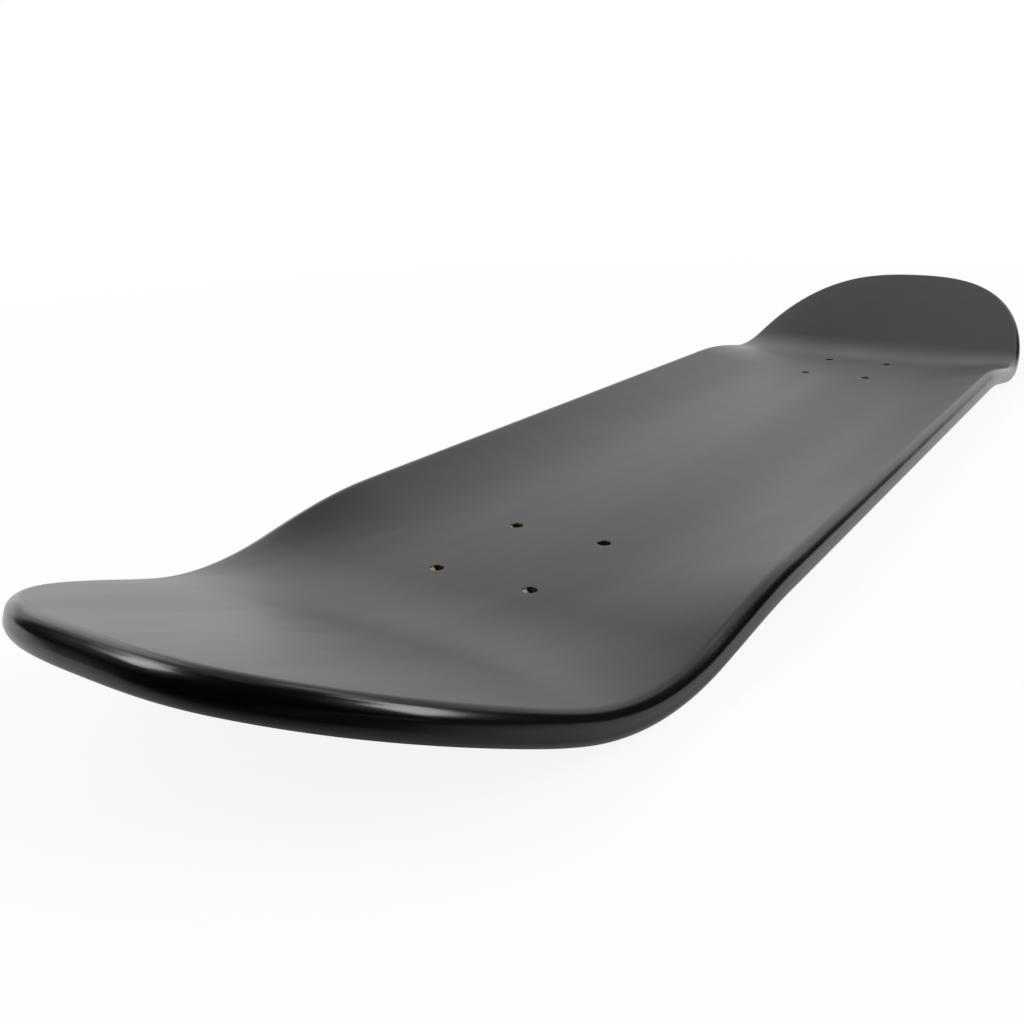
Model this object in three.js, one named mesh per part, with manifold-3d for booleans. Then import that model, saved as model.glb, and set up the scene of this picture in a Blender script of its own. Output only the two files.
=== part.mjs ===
// A seven-ply maple skateboard deck: a pressed laminate with a kicked tail, a kicked
// nose, upturned rails, a rounded edge and two drilled truck patterns.
//
// Millimetres, +Z up, +X towards the nose. The origin lies on the flat underside,
// midway between the two truck patterns.
import * as THREE from "three";
import { mergeVertices } from "three/addons/utils/BufferGeometryUtils.js";
import Module from "manifold-3d";

// The laminate, through its thickness. The veneers are glued face to face.
const longGrainVeneer = 1.55;
const crossGrainVeneer = 1.35;
const glueLine = 0.07;
const edgeRadius = 4.6;

// Truck bolts: the wheelbase is between the two inner bolt rows.
const wheelbase = 365;
const boltRowSpacing = 53.98;
const boltColumnSpacing = 41.28;
const boltHoleDiameter = 5.3;

// The outline, traced on the pressed underside: the curled rails lean in above it,
// so the finished board is a little narrower. Each end narrows as a superellipse over
// its taper, and its length runs along the surface from the outer bolt row to the tip.
const outlineWidth = 205;
const tailLength = 168;
const tailTaperLength = 230;
const tailSidePower = 2.22;
const tailTipPower = 2.84;
const noseLength = 172.5;
const noseTaperLength = 206;
const noseSidePower = 3.08;
const noseTipPower = 2.43;

// The press mould: each end bends up on one radius, a little past its bolts.
const tailBendOffset = 10.5;
const tailBendRadius = 186;
const tailKickDegrees = 20.7;
const noseBendOffset = 6.7;
const noseBendRadius = 152;
const noseKickDegrees = 20.5;

// The mould across the board: flat between the rails, which curl up to their rise.
// Before each bend the curl starts to fade, and it ends as a slight crown on the kick.
const flatBandWidth = 73;
const railRise = 12;
const tailFadeLead = 56;
const tailFadeLength = 139.5;
const tailCrownShare = -0.52;
const noseFadeLead = 65;
const noseFadeLength = 132;
const noseCrownShare = -0.35;

// Cuts run past the surfaces that they open by this much.
const cutOverrun = 5;
// Half the span over which the slope of the pressed surface is read.
const slopeProbe = 0.05;

// Facets: rows along the board, columns across it, rings up the rounded edge.
const tipRows = 8;
const bendRows = 5;
const fadeRows = 3;
const wheelbaseRows = 6;
const railColumns = 3;
const edgeRings = 4;
const holeSides = 12;

// The lay-up from the underside to the top: five veneers with the grain along the
// board, and two cross-bands that keep it from splitting.
const layUp = [
  { name: "bottom_face_veneer", thickness: longGrainVeneer },
  { name: "lower_long_grain_veneer", thickness: longGrainVeneer },
  { name: "lower_cross_grain_veneer", thickness: crossGrainVeneer },
  { name: "core_veneer", thickness: longGrainVeneer },
  { name: "upper_cross_grain_veneer", thickness: crossGrainVeneer },
  { name: "upper_long_grain_veneer", thickness: longGrainVeneer },
  { name: "top_face_veneer", thickness: longGrainVeneer },
];
const veneerThickness = layUp.reduce((sum, ply) => sum + ply.thickness, 0);
const deckThickness = veneerThickness + (layUp.length - 1) * glueLine;

// Places along the board are distances along the pressed surface from mid-wheelbase.
const innerBoltRow = wheelbase / 2;
const outerBoltRow = innerBoltRow + boltRowSpacing;

const tail = {
  side: -1,
  tip: outerBoltRow + tailLength,
  taperLength: tailTaperLength,
  sidePower: tailSidePower,
  tipPower: tailTipPower,
  bendStart: outerBoltRow + tailBendOffset,
  bendRadius: tailBendRadius,
  kickAngle: THREE.MathUtils.degToRad(tailKickDegrees),
  fadeLead: tailFadeLead,
  fadeLength: tailFadeLength,
  crownShare: tailCrownShare,
};
const nose = {
  side: 1,
  tip: outerBoltRow + noseLength,
  taperLength: noseTaperLength,
  sidePower: noseSidePower,
  tipPower: noseTipPower,
  bendStart: outerBoltRow + noseBendOffset,
  bendRadius: noseBendRadius,
  kickAngle: THREE.MathUtils.degToRad(noseKickDegrees),
  fadeLead: noseFadeLead,
  fadeLength: noseFadeLength,
  crownShare: noseCrownShare,
};
for (const end of [tail, nose]) {
  end.bendEnd = end.bendStart + end.bendRadius * end.kickAngle;
  end.fadeStart = end.bendStart - end.fadeLead;
}
const endAt = (along) => (along < 0 ? tail : nose);

// The centre line of the mould: level, then an arc, then a straight kick.
function centreLine(along) {
  const end = endAt(along);
  const past = Math.abs(along) - end.bendStart;
  if (past <= 0) return { x: along, z: 0, slope: 0 };
  const slope = Math.min(past / end.bendRadius, end.kickAngle);
  const straight = Math.max(past - end.bendRadius * end.kickAngle, 0);
  const run = end.bendRadius * Math.sin(slope) + straight * Math.cos(slope);
  const rise = end.bendRadius * (1 - Math.cos(slope)) + straight * Math.sin(slope);
  return { x: end.side * (end.bendStart + run), z: rise, slope: end.side * slope };
}

// How far the mould lifts the board off its centre line towards the rails.
function railLift(along, across) {
  const end = endAt(along);
  const faded = THREE.MathUtils.smoothstep(
    Math.abs(along),
    end.fadeStart,
    end.fadeStart + end.fadeLength,
  );
  const curl = THREE.MathUtils.lerp(1, end.crownShare, faded);
  const outside = Math.max(Math.abs(across) - flatBandWidth / 2, 0);
  return railRise * curl * (outside / (outlineWidth / 2 - flatBandWidth / 2)) ** 2;
}

function underside(along, across) {
  const { x, z, slope } = centreLine(along);
  const lift = railLift(along, across);
  return new THREE.Vector3(x - lift * Math.sin(slope), across, z + lift * Math.cos(slope));
}

// A point of the laminate, at a height above the underside, square to the surface.
function pressedPoint(along, across, height) {
  const forward = underside(along + slopeProbe, across).sub(underside(along - slopeProbe, across));
  const sideways = underside(along, across + slopeProbe).sub(underside(along, across - slopeProbe));
  return underside(along, across).addScaledVector(forward.cross(sideways).normalize(), height);
}

// The outline's half width at a place along the board, and its outward normal there.
function outlineAt(along) {
  const end = endAt(along);
  const share = Math.max(1 - (end.tip - Math.abs(along)) / end.taperLength, 0);
  const narrowed = Math.max(1 - share ** end.sidePower, 0);
  const halfWidth = (outlineWidth / 2) * narrowed ** (1 / end.tipPower);
  const steepness =
    (outlineWidth / 2 / end.taperLength) *
    (end.sidePower / end.tipPower) *
    share ** (end.sidePower - 1) *
    narrowed ** (1 / end.tipPower - 1);
  const turn = Math.atan(steepness);
  return { halfWidth, outward: end.side * Math.sin(turn), sideways: Math.cos(turn) };
}

// The edge is rounded over from both faces, leaving a narrow upright band between.
const roundOver = Math.min(edgeRadius, deckThickness / 2);
function edgeInset(height) {
  const depth = Math.min(height, deckThickness - height);
  if (depth >= roundOver) return 0;
  return roundOver - Math.sqrt(roundOver ** 2 - (roundOver - Math.max(depth, 0)) ** 2);
}
const edgeHeights = [];
for (let ring = 0; ring <= edgeRings; ring++) {
  const depth = roundOver * (1 - Math.sin((ring / edgeRings) * (Math.PI / 2)));
  edgeHeights.push(depth, deckThickness - depth);
}

// Rows of facets, closer together at each tip and round each bend.
function evenSteps(from, to, count) {
  return Array.from({ length: count }, (_, i) => from + ((to - from) * (i + 1)) / count);
}
function rowsOfEnd(end) {
  const tipRun = end.tip - end.bendEnd;
  const cap = Array.from({ length: tipRows }, (_, i) => end.tip - tipRun * (i / tipRows) ** 2);
  const bend = evenSteps(end.bendEnd, end.bendStart, bendRows);
  const fade = evenSteps(end.bendStart, end.fadeStart, fadeRows);
  return [...cap, end.bendEnd, ...bend, ...fade].map((along) => end.side * along);
}
const middleRows = evenSteps(-tail.fadeStart, nose.fadeStart, wheelbaseRows).slice(0, -1);
const rows = [...rowsOfEnd(tail), ...middleRows, ...rowsOfEnd(nose).reverse()];

// Columns of facets as shares of the half width, with one along each side of the flat band.
const flatShare = flatBandWidth / outlineWidth;
const railShares = evenSteps(flatShare, 1, railColumns);
const halfShares = [flatShare, ...railShares];
const columnShares = [...halfShares.map((share) => -share).reverse(), 0, ...halfShares];

// One layer of points over the whole board at a height, drawn in to the rounded edge.
function layer(height) {
  const inset = edgeInset(height);
  return rows.map((along) => {
    const { halfWidth, outward, sideways } = outlineAt(along);
    const place = along - inset * outward;
    const reach = Math.max(halfWidth - inset * sideways, 0);
    return columnShares.map((share) => pressedPoint(place, share * reach, height));
  });
}

// A veneer's closed skin: its two faces, and its edge in bands from ring to ring.
// A ring that falls in a glue line, or within one of a face, is left out.
function veneerGeometry(bottom, top) {
  const corners = [];
  const quad = (a, b, c, d) => corners.push(a, b, c, a, c, d);
  const inside = (height) => height > bottom + glueLine && height < top - glueLine;
  const between = edgeHeights.filter(inside).sort((a, b) => a - b);
  const layers = [bottom, ...between, top].map(layer);
  const lower = layers[0];
  const upper = layers[layers.length - 1];
  const last = columnShares.length - 1;
  for (let i = 0; i + 1 < rows.length; i++) {
    for (let j = 0; j < last; j++) {
      quad(upper[i][j], upper[i + 1][j], upper[i + 1][j + 1], upper[i][j + 1]);
      quad(lower[i][j], lower[i][j + 1], lower[i + 1][j + 1], lower[i + 1][j]);
    }
    for (let k = 0; k + 1 < layers.length; k++) {
      const [under, over] = [layers[k], layers[k + 1]];
      quad(under[i][0], under[i + 1][0], over[i + 1][0], over[i][0]);
      quad(under[i + 1][last], under[i][last], over[i][last], over[i + 1][last]);
    }
  }
  return new THREE.BufferGeometry().setFromPoints(corners);
}

const wasm = await Module();
wasm.setup();

// A closed geometry as a solid: shared vertices merged, collapsed triangles left out.
function solidOf(geometry) {
  const bare = geometry.index ? geometry.toNonIndexed() : geometry.clone();
  bare.deleteAttribute("normal");
  bare.deleteAttribute("uv");
  const merged = mergeVertices(bare);
  const index = merged.index.array;
  const kept = [];
  for (let i = 0; i < index.length; i += 3) {
    const [a, b, c] = index.slice(i, i + 3);
    if (a !== b && b !== c && c !== a) kept.push(a, b, c);
  }
  return new wasm.Manifold(
    new wasm.Mesh({
      numProp: 3,
      vertProperties: new Float32Array(merged.attributes.position.array),
      triVerts: new Uint32Array(kept),
    }),
  );
}

function geometryOf(solid) {
  const { vertProperties, triVerts } = solid.getMesh();
  const geometry = new THREE.BufferGeometry();
  geometry.setAttribute("position", new THREE.BufferAttribute(vertProperties, 3));
  geometry.setIndex(new THREE.BufferAttribute(triVerts, 1));
  geometry.computeVertexNormals();
  return geometry;
}

// The bolt holes, drilled upright through the whole laminate.
function boltHoles() {
  const length = deckThickness + 2 * cutOverrun;
  const holes = [];
  for (const along of [-outerBoltRow, -innerBoltRow, innerBoltRow, outerBoltRow]) {
    for (const across of [-boltColumnSpacing / 2, boltColumnSpacing / 2]) {
      const drill = new THREE.CylinderGeometry(
        boltHoleDiameter / 2,
        boltHoleDiameter / 2,
        length,
        holeSides,
      );
      const { x, z } = centreLine(along);
      drill.rotateX(Math.PI / 2).translate(x, across, z + length / 2 - cutOverrun);
      holes.push(solidOf(drill));
    }
  }
  return holes;
}

const blackLacquer = { color: 0x0b0b0c, roughness: 0.34, metalness: 0 };

const deck = new THREE.Group();
const holes = boltHoles();
let bottom = 0;
for (const { name, thickness } of layUp) {
  const blank = solidOf(veneerGeometry(bottom, bottom + thickness));
  const drilled = holes.reduce((solid, hole) => solid.subtract(hole), blank);
  const veneer = new THREE.Mesh(geometryOf(drilled), new THREE.MeshStandardMaterial(blackLacquer));
  veneer.name = name;
  deck.add(veneer);
  bottom += thickness + glueLine;
}

export default deck;
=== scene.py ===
from math import cos, pi, radians, sin
from types import SimpleNamespace

import bmesh
import bpy
import numpy as np
from mathutils import Matrix, Vector


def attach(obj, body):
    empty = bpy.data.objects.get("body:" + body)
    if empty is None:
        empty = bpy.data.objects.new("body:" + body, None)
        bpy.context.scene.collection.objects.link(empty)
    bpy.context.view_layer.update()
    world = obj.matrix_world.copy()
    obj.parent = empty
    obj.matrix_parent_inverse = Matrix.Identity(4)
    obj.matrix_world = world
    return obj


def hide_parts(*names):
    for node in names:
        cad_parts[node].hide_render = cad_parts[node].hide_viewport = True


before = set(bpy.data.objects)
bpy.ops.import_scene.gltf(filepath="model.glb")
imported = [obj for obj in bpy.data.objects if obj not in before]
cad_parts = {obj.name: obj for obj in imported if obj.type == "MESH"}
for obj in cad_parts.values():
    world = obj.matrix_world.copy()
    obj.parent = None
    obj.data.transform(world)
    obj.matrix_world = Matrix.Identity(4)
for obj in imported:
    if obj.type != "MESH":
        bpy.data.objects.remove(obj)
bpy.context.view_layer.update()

MM = 0.001
WHITE = (1, 1, 1, 1)

# The laminate, the same as in the frame: five veneers with the grain along the board,
# and two cross-bands.
LONG_GRAIN_VENEER = 1.55 * MM
CROSS_GRAIN_VENEER = 1.35 * MM
GLUE_LINE = 0.07 * MM
EDGE_RADIUS = 4.6 * MM
LAY_UP = [
    ("bottom_face_veneer", LONG_GRAIN_VENEER),
    ("lower_long_grain_veneer", LONG_GRAIN_VENEER),
    ("lower_cross_grain_veneer", CROSS_GRAIN_VENEER),
    ("core_veneer", LONG_GRAIN_VENEER),
    ("upper_cross_grain_veneer", CROSS_GRAIN_VENEER),
    ("upper_long_grain_veneer", LONG_GRAIN_VENEER),
    ("top_face_veneer", LONG_GRAIN_VENEER),
]
DECK_THICKNESS = sum(thickness for _, thickness in LAY_UP) + (len(LAY_UP) - 1) * GLUE_LINE

# The lacquer. The veneers stop short of its outer skin by the bed. It runs down into each
# bolt hole from a face, and hardly at all on one side, where the bare wood shows. That side is
# not as wide in every hole: the shares go by rows from the tail, the left hole first.
LACQUER_THICKNESS = 0.12 * MM
LACQUER_BED = 0.2 * MM
LACQUER_RUN = 2.6 * MM
LACQUER_RUN_BARE = 0.42 * MM
BARE_SIDE = radians(135)
BARE_WITHIN, BARE_BLEND = radians(66), radians(98)
BARE_SHARES = (1, 1.05, 0.8, 0.35, 1, 1, 0.8, 0.8)
HOLE_LIP_RADIUS = 0.3 * MM

# Truck bolts: the wheelbase is between the two inner bolt rows.
WHEELBASE = 365 * MM
BOLT_ROW_SPACING = 53.98 * MM
BOLT_COLUMN_SPACING = 41.28 * MM
BOLT_HOLE_DIAMETER = 5.3 * MM
INNER_BOLT_ROW = WHEELBASE / 2
OUTER_BOLT_ROW = INNER_BOLT_ROW + BOLT_ROW_SPACING

# The outline on the pressed underside, and the mould across the board.
OUTLINE_WIDTH = 205 * MM
FLAT_BAND_WIDTH = 73 * MM
RAIL_RISE = 12 * MM


def end_of_board(side, length, taper_length, side_power, tip_power, bend_offset, bend_radius,
                 kick_degrees, fade_lead, fade_length, crown_share):
    """One end: its superellipse outline, its bend and kick, and the fade of the rails."""
    bend_start = OUTER_BOLT_ROW + bend_offset
    return SimpleNamespace(
        side=side,
        tip=OUTER_BOLT_ROW + length,
        taper_length=taper_length,
        side_power=side_power,
        tip_power=tip_power,
        bend_start=bend_start,
        bend_radius=bend_radius,
        kick_angle=radians(kick_degrees),
        fade_start=bend_start - fade_lead,
        fade_length=fade_length,
        crown_share=crown_share,
    )


TAIL = end_of_board(
    side=-1, length=168 * MM, taper_length=230 * MM, side_power=2.22, tip_power=2.84,
    bend_offset=10.5 * MM, bend_radius=186 * MM, kick_degrees=20.7,
    fade_lead=56 * MM, fade_length=139.5 * MM, crown_share=-0.52,
)
NOSE = end_of_board(
    side=1, length=172.5 * MM, taper_length=206 * MM, side_power=3.08, tip_power=2.43,
    bend_offset=6.7 * MM, bend_radius=152 * MM, kick_degrees=20.5,
    fade_lead=65 * MM, fade_length=132 * MM, crown_share=-0.35,
)

# Half the span over which the slope of the pressed surface is read.
SLOPE_PROBE = 0.05 * MM


def of_end(along, name):
    return np.where(along < 0, getattr(TAIL, name), getattr(NOSE, name))


def centre_line(along):
    """The mould along the middle of the board: level, then an arc, then a straight kick."""
    bend_start = of_end(along, "bend_start")
    radius = of_end(along, "bend_radius")
    kick = of_end(along, "kick_angle")
    past = np.maximum(np.abs(along) - bend_start, 0)
    slope = np.minimum(past / radius, kick)
    straight = np.maximum(past - radius * kick, 0)
    level = np.minimum(np.abs(along), bend_start)
    run = level + radius * np.sin(slope) + straight * np.cos(slope)
    rise = radius * (1 - np.cos(slope)) + straight * np.sin(slope)
    return np.sign(along) * run, rise, np.sign(along) * slope


def rail_lift(along, across):
    """How far the mould lifts the board off its centre line towards the rails."""
    share = (np.abs(along) - of_end(along, "fade_start")) / of_end(along, "fade_length")
    share = np.clip(share, 0, 1)
    faded = share * share * (3 - 2 * share)
    curl = 1 + (of_end(along, "crown_share") - 1) * faded
    outside = np.maximum(np.abs(across) - FLAT_BAND_WIDTH / 2, 0)
    return RAIL_RISE * curl * (outside / (OUTLINE_WIDTH / 2 - FLAT_BAND_WIDTH / 2)) ** 2


def underside(along, across):
    x, z, slope = centre_line(along)
    lift = rail_lift(along, across)
    return np.stack([x - lift * np.sin(slope), across, z + lift * np.cos(slope)], axis=-1)


def pressed_points(along, across, height):
    """Points of the laminate at a height above the underside, square to the surface."""
    along, across = np.broadcast_arrays(along, across)
    forward = underside(along + SLOPE_PROBE, across) - underside(along - SLOPE_PROBE, across)
    sideways = underside(along, across + SLOPE_PROBE) - underside(along, across - SLOPE_PROBE)
    normal = np.cross(forward, sideways)
    normal /= np.linalg.norm(normal, axis=-1, keepdims=True)
    return underside(along, across) + height * normal


def outline(along):
    """The half width at places along the board, and the outward normal there."""
    share = 1 - (of_end(along, "tip") - np.abs(along)) / of_end(along, "taper_length")
    share = np.clip(share, 0, 1)
    side_power = of_end(along, "side_power")
    tip_power = of_end(along, "tip_power")
    narrowed = 1 - share ** side_power
    half_width = OUTLINE_WIDTH / 2 * narrowed ** (1 / tip_power)
    with np.errstate(divide="ignore"):
        steepness = OUTLINE_WIDTH / 2 / of_end(along, "taper_length") * side_power / tip_power
        steepness = steepness * share ** (side_power - 1) * narrowed ** (1 / tip_power - 1)
    turn = np.arctan(steepness)
    return half_width, np.sign(along) * np.sin(turn), np.cos(turn)


# Each bolt hole sits in a square block of the grid, this far either side of its middle.
HOLE_BLOCK = 6.4 * MM
# Past this place the rows bow towards the tip, and end on the centre line short of it.
BOW_START = 250 * MM
BOW_SHORT_OF_TIP = 50 * MM
# The outline is measured at this many places, closer together towards the tip.
OUTLINE_SAMPLES = 4001
CLOSER_TO_TIP = 3


def rows_over_end(end, count):
    """Rows evenly spaced round the end's outline: places on the edge and on the centre line."""
    shares = np.linspace(0, 1, OUTLINE_SAMPLES) ** CLOSER_TO_TIP
    along = end.tip - (end.tip - BOW_START) * shares
    half_width = outline(end.side * along)[0]
    path = np.append(0, np.cumsum(np.hypot(np.diff(along), np.diff(half_width))))
    even = np.linspace(0, 1, count + 1)
    edge = np.interp(even * path[-1], path, along)
    middle = end.tip - BOW_SHORT_OF_TIP
    middle = middle + (BOW_START - middle) * even
    return end.side * edge, end.side * middle


def steps_between(stops, cells):
    """Stops along a line with even steps between them, the last stop left out."""
    runs = [np.linspace(a, b, n, endpoint=False) for a, b, n in zip(stops, stops[1:], cells)]
    return np.concatenate(runs)


def board_grid(end_rows, hole_cells, cell, rim_cells):
    """The rows and columns that the skins of the board are drawn on."""
    def cells_for(length):
        return max(round(length / cell), 1)

    bolt_rows = np.array([-OUTER_BOLT_ROW, -INNER_BOLT_ROW, INNER_BOLT_ROW, OUTER_BOLT_ROW])
    stops = [-BOW_START]
    cells = []
    for bolt_row in bolt_rows:
        cells += [cells_for(bolt_row - HOLE_BLOCK - stops[-1]), hole_cells]
        stops += [bolt_row - HOLE_BLOCK, bolt_row + HOLE_BLOCK]
    stops.append(BOW_START)
    cells.append(cells_for(BOW_START - stops[-2]))
    level = steps_between(stops, cells)
    tail_edge, tail_middle = rows_over_end(TAIL, end_rows)
    nose_edge, nose_middle = rows_over_end(NOSE, end_rows)
    edge = np.concatenate([tail_edge[:-1], level, nose_edge[::-1]])
    middle = np.concatenate([tail_middle[:-1], level, nose_middle[::-1]])

    half = OUTLINE_WIDTH / 2
    near = BOLT_COLUMN_SPACING / 2 - HOLE_BLOCK
    far = BOLT_COLUMN_SPACING / 2 + HOLE_BLOCK
    stops = [0, near, far, half]
    shares = steps_between(stops, [cells_for(near), hole_cells, rim_cells]) / half
    shares = np.append(shares, 1)
    columns = np.concatenate([-shares[:0:-1], shares])

    blocks = []
    centre = len(shares) - 1
    for bolt_row in bolt_rows:
        i = int(np.argmin(np.abs(edge - (bolt_row - HOLE_BLOCK))))
        j = cells_for(near)
        blocks.append((i, centre + j, bolt_row, BOLT_COLUMN_SPACING / 2))
        blocks.append((i, centre - j - hole_cells, bolt_row, -BOLT_COLUMN_SPACING / 2))
    return SimpleNamespace(edge=edge, middle=middle, columns=columns, blocks=blocks,
                           hole_cells=hole_cells)


# Faces that meet at more than this angle keep a sharp line between them.
SHARP_ANGLE = radians(35)


class Form:
    """A mesh in the making: points, faces, and how far each point is round the edge."""

    def __init__(self):
        self.points = np.zeros((0, 3))
        self.edge_shares = np.zeros(0)
        self.faces = []

    def add(self, points, edge_share=0.0):
        """Adds an array of points and returns their numbers, in the array's shape."""
        first = len(self.points)
        count = points.size // 3
        self.points = np.concatenate([self.points, points.reshape(-1, 3)])
        self.edge_shares = np.append(self.edge_shares, np.full(count, edge_share))
        return first + np.arange(count).reshape(points.shape[:-1])

    def bridge(self, one, other):
        """A band of faces between two closed loops of as many points."""
        for a, b, c, d in zip(one, np.roll(one, -1), np.roll(other, -1), other):
            self.faces.append((int(a), int(b), int(c), int(d)))

    def finish(self, name, material):
        used, faces = np.unique(np.array(self.faces), return_inverse=True)
        mesh = bpy.data.meshes.new(name)
        mesh.from_pydata(self.points[used].tolist(), [], faces.reshape(-1, 4).tolist())
        made = bmesh.new()
        made.from_mesh(mesh)
        bmesh.ops.recalc_face_normals(made, faces=made.faces)
        made.to_mesh(mesh)
        made.free()
        mesh.shade_smooth()
        mesh.set_sharp_from_angle(angle=SHARP_ANGLE)
        shares = mesh.attributes.new("edge_share", "FLOAT", "POINT")
        shares.data.foreach_set("value", self.edge_shares[used])
        mesh.materials.append(material)
        piece = bpy.data.objects.new(name, mesh)
        bpy.context.scene.collection.objects.link(piece)
        return piece


def edge_inset(height, depth_in):
    """How far the rounded edge lies inside the outline, for a skin that deep in the board."""
    depth = min(height, DECK_THICKNESS - height)
    over = EDGE_RADIUS - min(depth, EDGE_RADIUS)
    return EDGE_RADIUS - max((EDGE_RADIUS - depth_in) ** 2 - over ** 2, 0) ** 0.5


def face(form, grid, height, inset):
    """One face of the board, with a square opening left for each bolt hole."""
    half_width, outward, sideways = outline(grid.edge)
    edge = (grid.edge - inset * outward)[:, None]
    reach = np.maximum(half_width - inset * sideways, 0)[:, None]
    middle = grid.middle[:, None]
    along = middle + (edge - middle) * grid.columns ** 2
    numbers = form.add(pressed_points(along, reach * grid.columns, height))
    half = len(grid.columns) // 2
    for tip in (0, -1):
        numbers[tip, half + 1:] = numbers[tip, :half][::-1]
    kept = np.ones((len(grid.edge) - 1, len(grid.columns) - 1), bool)
    for i, j, _, _ in grid.blocks:
        kept[i:i + grid.hole_cells, j:j + grid.hole_cells] = False
    quads = np.stack([numbers[:-1, :-1], numbers[1:, :-1], numbers[1:, 1:], numbers[:-1, 1:]], -1)
    form.faces += [tuple(quad) for quad in quads[kept].tolist()]
    return SimpleNamespace(numbers=numbers, grid=grid)


def loop_round(numbers):
    """The outer edge of a face, from the tail round the right side to the nose and back."""
    return np.concatenate([numbers[:, 0], numbers[-2:0:-1, -1]])


def rim(grid, height, inset):
    """The points of the edge at a height, in the same order."""
    half_width, outward, sideways = outline(grid.edge)
    along = grid.edge - inset * outward
    reach = np.maximum(half_width - inset * sideways, 0)
    right = pressed_points(along, -reach, height)
    left = pressed_points(along, reach, height)
    return np.concatenate([right, left[-2:0:-1]])


def skin(form, grid, profile):
    """Both faces and the edge between them, through the profile's heights and insets."""
    top = face(form, grid, *profile[0])
    bottom = face(form, grid, *profile[-1])
    loops = [loop_round(top.numbers)]
    for height, inset in profile[1:-1]:
        loops.append(form.add(rim(grid, height, inset), 1 - inset / EDGE_RADIUS))
    loops.append(loop_round(bottom.numbers))
    for one, other in zip(loops, loops[1:]):
        form.bridge(one, other)
    return top, bottom


def loop_in_block(numbers, i, j, cells):
    """The square loop round one block, from its corner nearest the tail on the right."""
    near = numbers[i:i + cells, j]
    left = numbers[i + cells, j:j + cells]
    far = numbers[i + cells:i:-1, j + cells]
    right = numbers[i, j + cells:j:-1]
    return np.concatenate([near, left, far, right])


# Rings that turn each square block into the round mouth of its hole.
BLEND_SHARES = (0.35, 0.7)


def lacquer_run_share(turns, bare_share):
    """How much of the lacquer's full run goes down the wall of a hole, at places round it."""
    away = np.abs((turns - BARE_SIDE + pi) % (2 * pi) - pi) / bare_share
    share = np.clip((away - BARE_WITHIN) / (BARE_BLEND - BARE_WITHIN), 0, 1)
    return share * share * (3 - 2 * share)


def bore(form, first, last, rings):
    """Joins two faces at every bolt hole, through rings of a radius, a height and a drop."""
    for start_block, end_block, hole_bare_share in zip(first.grid.blocks, last.grid.blocks, BARE_SHARES):
        cells = first.grid.hole_cells
        count = 4 * cells
        turns = -3 * pi / 4 + 2 * pi * np.arange(count) / count
        along, across = start_block[2:]

        def circle(radius, height, drop=0.0):
            x = along + radius * np.cos(turns)
            y = across + radius * np.sin(turns)
            z = height - drop * lacquer_run_share(turns, hole_bare_share)
            return np.stack([x, y, z], axis=-1)

        start = loop_in_block(first.numbers, *start_block[:2], cells)
        end = loop_in_block(last.numbers, *end_block[:2], cells)
        opening = [form.points[start] * (1 - s) + circle(*rings[0]) * s for s in BLEND_SHARES]
        closing = [form.points[end] * (1 - s) + circle(*rings[-1]) * s for s in BLEND_SHARES]
        loops = opening + [circle(*ring) for ring in rings] + closing[::-1]
        loops = [start] + [form.add(points) for points in loops] + [end]
        for one, other in zip(loops, loops[1:]):
            form.bridge(one, other)


def rounded_edge(depth_in, steps):
    """The edge's section from the top face to the bottom one, as heights and insets."""
    radius = EDGE_RADIUS - depth_in
    turns = np.linspace(0, pi / 2, steps + 1)
    upper = [(DECK_THICKNESS - EDGE_RADIUS + radius * cos(t), EDGE_RADIUS - radius * sin(t))
             for t in turns]
    lower = [(DECK_THICKNESS - height, inset) for height, inset in reversed(upper)]
    return upper + lower


def hole_mouth(depth_in, steps):
    """The lacquer's skin at a hole, from the top face down the wall, as rings."""
    hole = BOLT_HOLE_DIAMETER / 2
    radius = HOLE_LIP_RADIUS - depth_in
    turns = np.linspace(0, pi / 2, steps + 1)
    centre_height = DECK_THICKNESS - HOLE_LIP_RADIUS
    rings = [(hole + HOLE_LIP_RADIUS - radius * sin(t), centre_height + radius * cos(t))
             for t in turns]
    end_height = DECK_THICKNESS - LACQUER_RUN_BARE
    end = (hole + depth_in, end_height, LACQUER_RUN - LACQUER_RUN_BARE)
    return [(*ring, 0.0) for ring in rings] + [end]


# How finely each skin is drawn, and the steps round its edge and its holes' mouths. Both
# skins of the lacquer have as many cells at a hole, because they are joined there.
OUTER_GRID = {"end_rows": 84, "hole_cells": 8, "cell": 7 * MM, "rim_cells": 18}
INNER_GRID = {"end_rows": 40, "hole_cells": 8, "cell": 12 * MM, "rim_cells": 12}
VENEER_GRID = {"end_rows": 26, "hole_cells": 6, "cell": 14 * MM, "rim_cells": 8}
OUTER_EDGE_STEPS, OUTER_MOUTH_STEPS = 20, 7
INNER_EDGE_STEPS, INNER_MOUTH_STEPS = 8, 4
VENEER_EDGE_STEPS = 8


def lacquer_coat(material):
    """A closed shell: an outer skin, an inner one, and a turned lip in each hole's mouth."""
    form = Form()
    outer_edge = rounded_edge(0, OUTER_EDGE_STEPS)
    inner_edge = rounded_edge(LACQUER_THICKNESS, INNER_EDGE_STEPS)
    outer = skin(form, board_grid(**OUTER_GRID), outer_edge)
    inner = skin(form, board_grid(**INNER_GRID), inner_edge)
    rings = hole_mouth(0, OUTER_MOUTH_STEPS)
    rings += hole_mouth(LACQUER_THICKNESS, INNER_MOUTH_STEPS)[::-1]
    turned_over = [(radius, DECK_THICKNESS - height, -drop) for radius, height, drop in rings]
    bore(form, outer[0], inner[0], rings)
    bore(form, outer[1], inner[1], turned_over)
    return form.finish("lacquer_coat", material)


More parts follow.
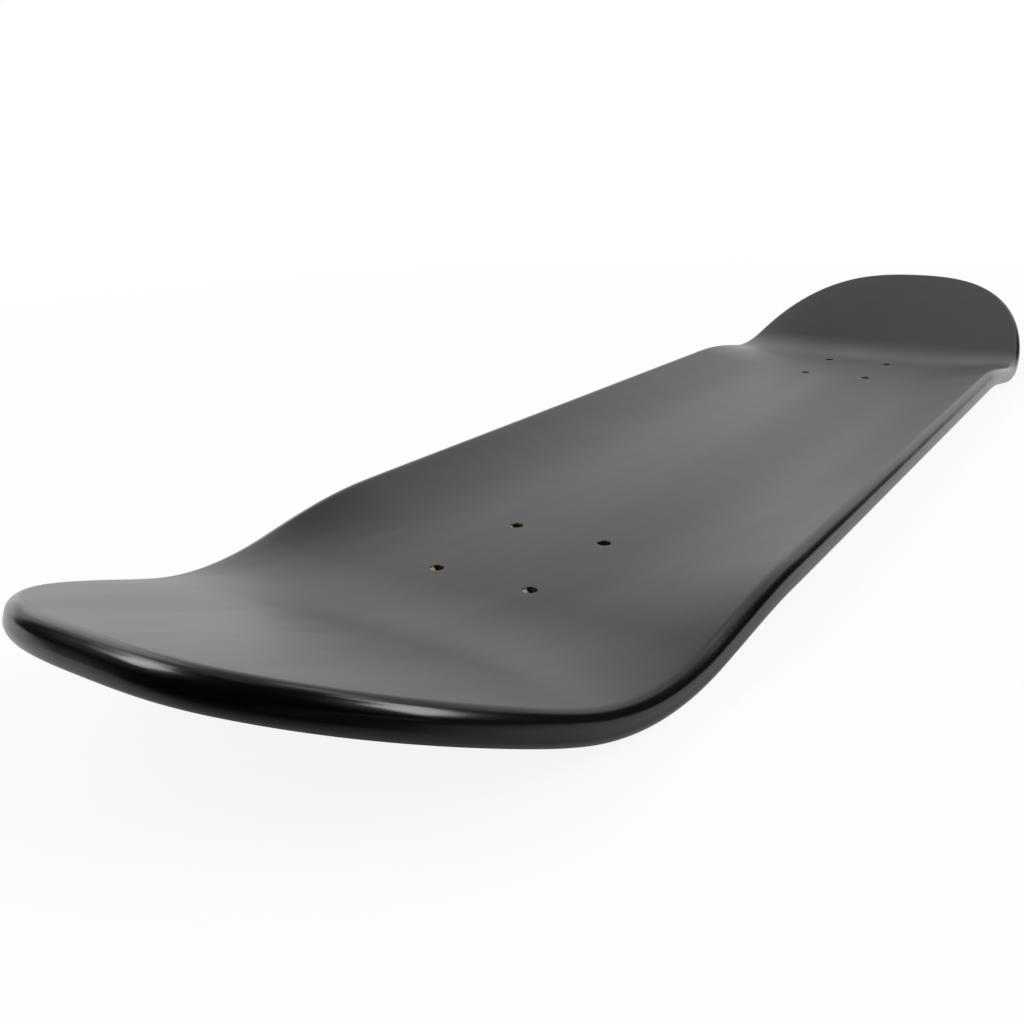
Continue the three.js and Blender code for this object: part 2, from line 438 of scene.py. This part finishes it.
def veneer(name, bottom, top, material):
    """One veneer, with its part of the rounded edge, inside the lacquer's bed."""
    lowest = max(bottom, LACQUER_BED)
    highest = min(top, DECK_THICKNESS - LACQUER_BED)
    # Steps of the edge that would come within a glue line of a face are left out.
    low_end = lowest + GLUE_LINE
    high_end = highest - GLUE_LINE
    section = rounded_edge(LACQUER_BED, VENEER_EDGE_STEPS)
    heights = [height for height, _ in section if low_end < height < high_end]
    heights = [highest] + heights + [lowest]
    form = Form()
    profile = [(height, edge_inset(height, LACQUER_BED)) for height in heights]
    upper, lower = skin(form, board_grid(**VENEER_GRID), profile)
    radius = BOLT_HOLE_DIAMETER / 2 + LACQUER_THICKNESS
    bore(form, upper, lower, [(radius, highest), (radius, lowest)])
    return form.finish(name, material)


class Nodes:
    """Short calls for making shader nodes."""

    def __init__(self, tree):
        self.tree = tree
        tree.nodes.clear()

    def add(self, kind, inputs=None, **settings):
        node = self.tree.nodes.new(kind)
        for key, value in settings.items():
            setattr(node, key, value)
        for key, value in (inputs or {}).items():
            if isinstance(value, bpy.types.NodeSocket):
                self.tree.links.new(value, node.inputs[key])
            else:
                node.inputs[key].default_value = value
        return node

    def math(self, operation, *values):
        inputs = dict(enumerate(values))
        return self.add("ShaderNodeMath", inputs, operation=operation).outputs[0]

    def ramp(self, value, low, high, start=0.0, end=1.0):
        """A smooth step from start to end as the value goes from low to high."""
        inputs = {"Value": value, "From Min": low, "From Max": high, "To Min": start,
                  "To Max": end}
        node = self.add("ShaderNodeMapRange", inputs, interpolation_type="SMOOTHSTEP")
        return node.outputs["Result"]

    def noise(self, place, scale, detail=2.0, roughness=0.5, distortion=0.0):
        inputs = {"Vector": place, "Scale": scale, "Detail": detail, "Roughness": roughness,
                  "Distortion": distortion}
        return self.add("ShaderNodeTexNoise", inputs).outputs["Fac"]

    def stretched(self, place, scale):
        node = self.add("ShaderNodeMapping", {"Vector": place, "Scale": scale})
        return node.outputs["Vector"]

    def mixed(self, share, one, other):
        """A mix of two colours. The node's sockets share names, so they go by number."""
        inputs = {0: share, 6: one, 7: other}
        return self.add("ShaderNodeMix", inputs, data_type="RGBA").outputs[2]

    def bump(self, height, distance, strength=1.0, over=None):
        """A bumped normal, over another one where it is given."""
        inputs = {"Height": height, "Distance": distance, "Strength": strength}
        if over:
            inputs["Normal"] = over
        return self.add("ShaderNodeBump", inputs).outputs["Normal"]


def new_material(name):
    material = bpy.data.materials.new(name)
    material.use_nodes = True
    return material, Nodes(material.node_tree)


# The faces are rubbed down to satin. The lacquer stays glossier round the edge, from this
# share of the way out to the next.
FACE_ROUGHNESS = (0.29, 0.33)
EDGE_ROUGHNESS = 0.21
EDGE_BLEND = (0.1, 0.55)
BLACKS = ((0.0007, 0.0007, 0.0008, 1), (0.0013, 0.0013, 0.0014, 1))
LACQUER_IOR = 1.5
# Noise as cells per metre along the board, across it and up: the grain and its broader
# streaks, the spray's fine texture, and the long, very low waves that the lacquer lies in.
GRAIN_CELLS = (3, 90, 30)
STREAK_CELLS = (1.4, 22, 8)
SPRAY_CELLS = 900
WAVE_CELLS = (18, 42, 42)
WAVE_HEIGHT = 0.4 * MM
GRAIN_HEIGHT = 0.02 * MM
GRAIN_STRENGTH = 0.5
GRAIN_PART, SPRAY_PART = 0.7, 0.3
# Most noise values lie between these two.
NOISE_LOW, NOISE_HIGH = 0.3, 0.7


def black_lacquer():
    """Satin black: nearly no colour of its own, with the wood's grain faint under it."""
    material, nodes = new_material("black_lacquer")
    place = nodes.add("ShaderNodeTexCoord").outputs["Object"]
    grain = nodes.noise(nodes.stretched(place, GRAIN_CELLS), 1.0, detail=4, roughness=0.6)
    streaks = nodes.noise(nodes.stretched(place, STREAK_CELLS), 1.0, detail=3)
    spray = nodes.noise(place, SPRAY_CELLS, detail=1)
    waves = nodes.noise(nodes.stretched(place, WAVE_CELLS), 1.0, detail=2)
    colour = nodes.mixed(streaks, *BLACKS)
    edge = nodes.add("ShaderNodeAttribute", attribute_name="edge_share").outputs["Fac"]
    face_roughness = nodes.ramp(streaks, NOISE_LOW, NOISE_HIGH, *FACE_ROUGHNESS)
    roughness = nodes.ramp(edge, *EDGE_BLEND, face_roughness, EDGE_ROUGHNESS)
    fine = nodes.math("MULTIPLY", spray, SPRAY_PART)
    height = nodes.math("MULTIPLY_ADD", grain, GRAIN_PART, fine)
    wavy = nodes.bump(waves, WAVE_HEIGHT)
    shader = nodes.add("ShaderNodeBsdfPrincipled", {
        "Base Color": colour,
        "Roughness": roughness,
        "IOR": LACQUER_IOR,
        "Normal": nodes.bump(height, GRAIN_HEIGHT, GRAIN_STRENGTH, wavy),
    })
    nodes.add("ShaderNodeOutputMaterial", {"Surface": shader.outputs[0]})
    return material


BAND_CELLS = (6, 70, 40)
PORE_CELLS = (60, 2200, 1200)
PALE_WOOD = (0.72, 0.61, 0.44, 1)
BAND_WOOD = (0.60, 0.48, 0.32, 1)
PORE_WOOD = (0.38, 0.28, 0.18, 1)
PORE_START, PORE_FULL, PORE_DEPTH = 0.62, 0.75, 0.45
WOOD_ROUGHNESS = (0.58, 0.7)
PORE_HEIGHT = 0.03 * MM
PORE_STRENGTH = 0.4


def maple(name, grain_turn):
    """Bare maple: pale, with fine pores and soft darker bands along its grain."""
    material, nodes = new_material(name)
    place = nodes.add("ShaderNodeTexCoord").outputs["Object"]
    turned = nodes.add("ShaderNodeMapping", {"Vector": place, "Rotation": (0, 0, grain_turn)})
    place = turned.outputs["Vector"]
    bands = nodes.noise(nodes.stretched(place, BAND_CELLS), 1.0, detail=5, distortion=0.6)
    pores = nodes.noise(nodes.stretched(place, PORE_CELLS), 1.0, detail=2)
    wood = nodes.mixed(nodes.ramp(bands, NOISE_LOW, NOISE_HIGH), PALE_WOOD, BAND_WOOD)
    in_pores = nodes.ramp(pores, PORE_START, PORE_FULL, 0, PORE_DEPTH)
    colour = nodes.mixed(in_pores, wood, PORE_WOOD)
    shader = nodes.add("ShaderNodeBsdfPrincipled", {
        "Base Color": colour,
        "Roughness": nodes.ramp(bands, NOISE_LOW, NOISE_HIGH, *WOOD_ROUGHNESS),
        "Normal": nodes.bump(pores, PORE_HEIGHT, PORE_STRENGTH),
    })
    nodes.add("ShaderNodeOutputMaterial", {"Surface": shader.outputs[0]})
    return material


# The camera stands just off the tail, low and turned towards the nose.
CAMERA_PLACE = Vector((-515.89, -203.09, 154.49)) * MM
CAMERA_AZIMUTH = radians(32.95)
CAMERA_PITCH = radians(-18.979)
CAMERA_ROLL = radians(-0.999)
CAMERA_LENS = 36.159
CAMERA_SENSOR = 36
CAMERA_SHIFT = (-0.01949, 0.00042)
CAMERA_CLIP_START = 0.01


def camera():
    data = bpy.data.cameras.new("camera")
    data.sensor_width = CAMERA_SENSOR
    data.lens = CAMERA_LENS
    data.shift_x, data.shift_y = CAMERA_SHIFT
    data.clip_start = CAMERA_CLIP_START
    made = bpy.data.objects.new("camera", data)
    turn = Matrix.Rotation(CAMERA_AZIMUTH - pi / 2, 4, "Z")
    tilt = Matrix.Rotation(pi / 2 + CAMERA_PITCH, 4, "X")
    roll = Matrix.Rotation(CAMERA_ROLL, 4, "Z")
    made.matrix_world = Matrix.Translation(CAMERA_PLACE) @ turn @ tilt @ roll
    bpy.context.scene.collection.objects.link(made)
    bpy.context.scene.camera = made


# The world lights everything at the plain level. In reflections it is a studio, with its
# azimuths and heights in degrees: white paper stands in front, brighter low down, under a
# grey ceiling, the room beside it is dark, and a low grey wall stands behind.
PLAIN_LEVEL = 0.08
PAPER_LEVEL = 0.89
PAPER_LOW_LEVEL = 1.2
CEILING_LEVEL = 0.42
ROOM_LEVEL = 0.015
PAPER_MIDDLE = 38.8
PAPER_SIDE = (49.7, 58.6)
PAPER_LOW_TOP = 9
PAPER_TOP = (32, 44)
BACK_LEVEL = 0.5
BACK_SIDE = (125, 140)
BACK_TOP = (25, 38)


def studio_world():
    world = bpy.data.worlds.new("studio")
    world.use_nodes = True
    world.cycles.sampling_method = "NONE"
    bpy.context.scene.world = world
    nodes = Nodes(world.node_tree)
    direction = nodes.add("ShaderNodeTexCoord").outputs["Generated"]

    def facing(axis):
        inputs = {0: direction, 1: axis}
        return nodes.add("ShaderNodeVectorMath", inputs, operation="DOT_PRODUCT").outputs["Value"]

    middle = radians(PAPER_MIDDLE)
    ahead = facing((cos(middle), sin(middle), 0))
    left = facing((-sin(middle), cos(middle), 0))
    aside = nodes.math("ABSOLUTE", nodes.math("ARCTAN2", left, ahead))
    height = nodes.math("ARCSINE", facing((0, 0, 1)))
    low = nodes.ramp(height, 0, radians(PAPER_LOW_TOP), PAPER_LOW_LEVEL, PAPER_LEVEL)
    front = nodes.ramp(height, *map(radians, PAPER_TOP), low, CEILING_LEVEL)
    level = nodes.ramp(aside, *map(radians, PAPER_SIDE), front, ROOM_LEVEL)
    back = nodes.ramp(height, *map(radians, BACK_TOP), BACK_LEVEL, 0)
    level = nodes.ramp(aside, *map(radians, BACK_SIDE), level, nodes.math("MAXIMUM", back, level))
    rays = nodes.add("ShaderNodeLightPath").outputs
    seen = nodes.math("MAXIMUM", rays["Is Camera Ray"], rays["Is Transmission Ray"])
    plain = nodes.math("MULTIPLY_ADD", seen, 1 - PLAIN_LEVEL, PLAIN_LEVEL)
    mirrored = nodes.math("MULTIPLY", rays["Is Glossy Ray"], nodes.math("SUBTRACT", level, plain))
    strength = nodes.math("ADD", plain, mirrored)
    background = nodes.add("ShaderNodeBackground", {"Color": WHITE, "Strength": strength})
    nodes.add("ShaderNodeOutputWorld", {"Surface": background.outputs[0]})


# The soft boxes and fills curve round the tail, out of the camera's sight. Each has its
# level, where 1 is white, and where the tail sees it in degrees: the azimuths of its two
# ends, and the heights of its lower and upper edge at places spread evenly between them.
TAIL_PLACE = Vector((-390, 0, 50)) * MM
SOFT_BOX_DISTANCE = 2.5
SOFT_BOX_STEPS = 8
SOFT_BOX_COLOUR = (0.97, 1, 1.01, 1)
SOFT_BOXES = [
    ("left_soft_box", 8.3, (104.5, 141), (50, 38.5, 26, 21.5), (64, 59.5, 57.5, 57)),
    ("left_scrim", 3.9, (84.5, 104), (48.5, 44, 44), (55.5, 62.5, 62.5)),
    ("left_fill", 1.65, (51, 80), (6, 12, 19), (53, 49, 45)),
    ("right_soft_box", 8.5, (-86.5, -35.5), (21.5, 25, 33, 44.5), (51.5, 48, 49, 61.5)),
    ("top_fill", 2.05, (-34.5, 19), (51.5, 49, 47.5), (63, 56, 66)),
    ("front_fill", 0.7, (-24, 19), (25, 37), (51, 47)),
]


def from_tail(azimuth, height):
    around = radians(azimuth)
    up = radians(height)
    direction = Vector((cos(around) * cos(up), sin(around) * cos(up), sin(up)))
    return TAIL_PLACE + SOFT_BOX_DISTANCE * direction


def square_faces(steps):
    """The faces of a square grid of points, a row after a row."""
    numbers = np.arange((steps + 1) ** 2).reshape(steps + 1, steps + 1)
    faces = np.stack([numbers[:-1, :-1], numbers[1:, :-1], numbers[1:, 1:], numbers[:-1, 1:]], -1)
    return faces.reshape(-1, 4).tolist()


def soft_box(name, level, azimuths, lower_heights, upper_heights):
    shares = np.linspace(0, 1, SOFT_BOX_STEPS + 1)
    across, up = np.meshgrid(shares, shares, indexing="ij")
    low, high = (np.interp(across, np.linspace(0, 1, len(edge)), edge)
                 for edge in (lower_heights, upper_heights))
    azimuth = azimuths[0] + (azimuths[1] - azimuths[0]) * across
    height = low + (high - low) * up
    points = [from_tail(*place) for place in zip(azimuth.ravel(), height.ravel())]
    faces = square_faces(SOFT_BOX_STEPS)
    mesh = bpy.data.meshes.new(name)
    mesh.from_pydata(points, [], faces)
    material, nodes = new_material(name)
    glow = nodes.add("ShaderNodeEmission", {"Color": SOFT_BOX_COLOUR, "Strength": level})
    nodes.add("ShaderNodeOutputMaterial", {"Surface": glow.outputs[0]})
    mesh.materials.append(material)
    made = bpy.data.objects.new(name, mesh)
    made.visible_camera = False
    bpy.context.scene.collection.objects.link(made)


FLOOR_SIZE = 12.0
FLOOR_COLOUR = (0.88, 0.88, 0.88, 1)
FLOOR_ROUGHNESS = 0.9
TOOTH_CELLS = 400
TOOTH_HEIGHT = 0.05 * MM
TOOTH_STRENGTH = 0.2
# The paper shows plain white far from the board. Near it the camera sees this share of
# plain white and the paper's own shaded colour for the rest.
FLOOR_GLOW_SHARE = 0.9
FLOOR_NEAR, FLOOR_FAR = 0.5, 1.3
# Reflections see it turn to plain white ahead of the tail, later towards the sides, and
# grow brighter still where it nears the standing paper.
MIRRORED_START, MIRRORED_WHITE = 0.1, 0.6
MIRRORED_SIDE_SHARE = 0.4
WALL_NEAR, WALL_FAR = 1.0, 3.0
WALL_GLOW = 1.7


def floor_material():
    """Pale paper that keeps the board's shadow."""
    material, nodes = new_material("floor_paper")
    material.cycles.emission_sampling = "NONE"
    place = nodes.add("ShaderNodeTexCoord").outputs["Object"]
    tooth = nodes.noise(place, TOOTH_CELLS, detail=3)
    paper = nodes.add("ShaderNodeBsdfPrincipled", {
        "Base Color": FLOOR_COLOUR,
        "Roughness": FLOOR_ROUGHNESS,
        "Specular IOR Level": 0.0,
        "Normal": nodes.bump(tooth, TOOTH_HEIGHT, TOOTH_STRENGTH),
    })
    rays = nodes.add("ShaderNodeLightPath").outputs
    distance = nodes.add("ShaderNodeVectorMath", {0: place}, operation="LENGTH").outputs["Value"]
    white = nodes.ramp(distance, FLOOR_NEAR, FLOOR_FAR, FLOOR_GLOW_SHARE, 1)
    seen = nodes.math("MAXIMUM", rays["Is Camera Ray"], rays["Is Transmission Ray"])
    from_tail_on = nodes.add("ShaderNodeMapping", {
        "Vector": place,
        "Location": (TAIL_PLACE.x, TAIL_PLACE.y, 0),
        "Rotation": (0, 0, CAMERA_AZIMUTH),
    }, vector_type="TEXTURE").outputs["Vector"]
    axes = nodes.add("ShaderNodeSeparateXYZ", {"Vector": from_tail_on}).outputs
    aside = nodes.math("ABSOLUTE", axes["Y"])
    ahead = nodes.math("SUBTRACT", axes["X"], nodes.math("MULTIPLY", aside, MIRRORED_SIDE_SHARE))
    mirrored_white = nodes.ramp(ahead, MIRRORED_START, MIRRORED_WHITE)
    mirrored = nodes.math("MULTIPLY", rays["Is Glossy Ray"], mirrored_white)
    share = nodes.math("MULTIPLY_ADD", seen, white, mirrored)
    wall = nodes.ramp(axes["X"], WALL_NEAR, WALL_FAR, 0, WALL_GLOW - 1)
    strength = nodes.math("MULTIPLY_ADD", wall, rays["Is Glossy Ray"], 1)
    glow = nodes.add("ShaderNodeEmission", {"Strength": strength})
    shader = nodes.add("ShaderNodeMixShader", {0: share, 1: paper.outputs[0], 2: glow.outputs[0]})
    nodes.add("ShaderNodeOutputMaterial", {"Surface": shader.outputs[0]})
    return material


def floor():
    half = FLOOR_SIZE / 2
    mesh = bpy.data.meshes.new("floor")
    corners = [(-half, -half, 0), (half, -half, 0), (half, half, 0), (-half, half, 0)]
    mesh.from_pydata(corners, [], [(0, 1, 2, 3)])
    mesh.materials.append(floor_material())
    made = bpy.data.objects.new("floor", mesh)
    bpy.context.scene.collection.objects.link(made)


# Only reflections see the dark side of the studio: a curved card behind the tail, and the
# paper in front of it, which falls into shade towards the camera.
CARD_DISTANCE = 0.15
CARD_FROM, CARD_TO = 0.042, 0.165
CARD_SPAN = (96, 285)
CARD_STEPS = 40
CARD_COLOUR = (0.004, 0.004, 0.004, 1)
SHADE_START = 80 * MM
SHADE_END = -130 * MM
SHADE_LEFT_SKEW = 0.2
SHADE_SIZE = (1.6, 3.0)
SHADE_HEIGHT = 0.3 * MM
SHADE_DEPTH = 0.965
SHADE_COLOUR = (0.01, 0.01, 0.01, 1)


def reflected_only(piece):
    piece.visible_camera = False
    piece.visible_diffuse = False
    piece.visible_shadow = False
    piece.visible_transmission = False


def dark_card():
    turns = np.radians(np.linspace(*CARD_SPAN, CARD_STEPS + 1))
    x = TAIL_PLACE.x + CARD_DISTANCE * np.cos(turns)
    y = TAIL_PLACE.y + CARD_DISTANCE * np.sin(turns)
    low = [(a, b, CARD_FROM) for a, b in zip(x, y)]
    high = [(a, b, CARD_TO) for a, b in zip(x, y)]
    count = len(turns)
    mesh = bpy.data.meshes.new("dark_card")
    faces = [(i, i + 1, count + i + 1, count + i) for i in range(count - 1)]
    mesh.from_pydata(low + high, [], faces)
    material, nodes = new_material("card_black")
    shader = nodes.add("ShaderNodeBsdfDiffuse", {"Color": CARD_COLOUR})
    nodes.add("ShaderNodeOutputMaterial", {"Surface": shader.outputs[0]})
    mesh.materials.append(material)
    card = bpy.data.objects.new("dark_card", mesh)
    bpy.context.scene.collection.objects.link(card)
    reflected_only(card)


def shaded_paper():
    """A dark sheet on the floor that fades in from the tail towards the camera."""
    depth, width = SHADE_SIZE
    mesh = bpy.data.meshes.new("shaded_paper")
    corners = [(SHADE_START - depth, -width / 2, 0), (SHADE_START, -width / 2, 0),
               (SHADE_START, width / 2, 0), (SHADE_START - depth, width / 2, 0)]
    mesh.from_pydata(corners, [], [(0, 1, 2, 3)])
    material, nodes = new_material("paper_shade")
    place = nodes.add("ShaderNodeTexCoord").outputs["Object"]
    axes = nodes.add("ShaderNodeSeparateXYZ", {"Vector": place}).outputs
    to_left = nodes.math("MAXIMUM", axes["Y"], 0)
    ahead = nodes.math("MULTIPLY_ADD", to_left, SHADE_LEFT_SKEW, axes["X"])
    clear = nodes.ramp(ahead, SHADE_END, SHADE_START, 1 - SHADE_DEPTH, 1)
    dark = nodes.add("ShaderNodeBsdfDiffuse", {"Color": SHADE_COLOUR})
    open_air = nodes.add("ShaderNodeBsdfTransparent")
    shaders = {0: clear, 1: dark.outputs[0], 2: open_air.outputs[0]}
    shader = nodes.add("ShaderNodeMixShader", shaders)
    nodes.add("ShaderNodeOutputMaterial", {"Surface": shader.outputs[0]})
    mesh.materials.append(material)
    sheet = bpy.data.objects.new("shaded_paper", mesh)
    place = Vector((TAIL_PLACE.x, TAIL_PLACE.y, SHADE_HEIGHT))
    sheet.matrix_world = Matrix.Translation(place) @ Matrix.Rotation(CAMERA_AZIMUTH, 4, "Z")
    bpy.context.scene.collection.objects.link(sheet)
    reflected_only(sheet)


camera()
studio_world()
for box in SOFT_BOXES:
    soft_box(*box)
floor()
dark_card()
shaded_paper()

coat = lacquer_coat(black_lacquer())
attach(coat, "root")

long_grain = maple("maple_long_grain", 0)
cross_grain = maple("maple_cross_grain", pi / 2)
bottom = 0.0
for name, thickness in LAY_UP:
    wood = cross_grain if "cross_grain" in name else long_grain
    ply = veneer("maple_" + name, bottom, bottom + thickness, wood)
    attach(ply, "root")
    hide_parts(name)
    bottom += thickness + GLUE_LINE

bpy.context.scene.view_settings.view_transform = "Standard"
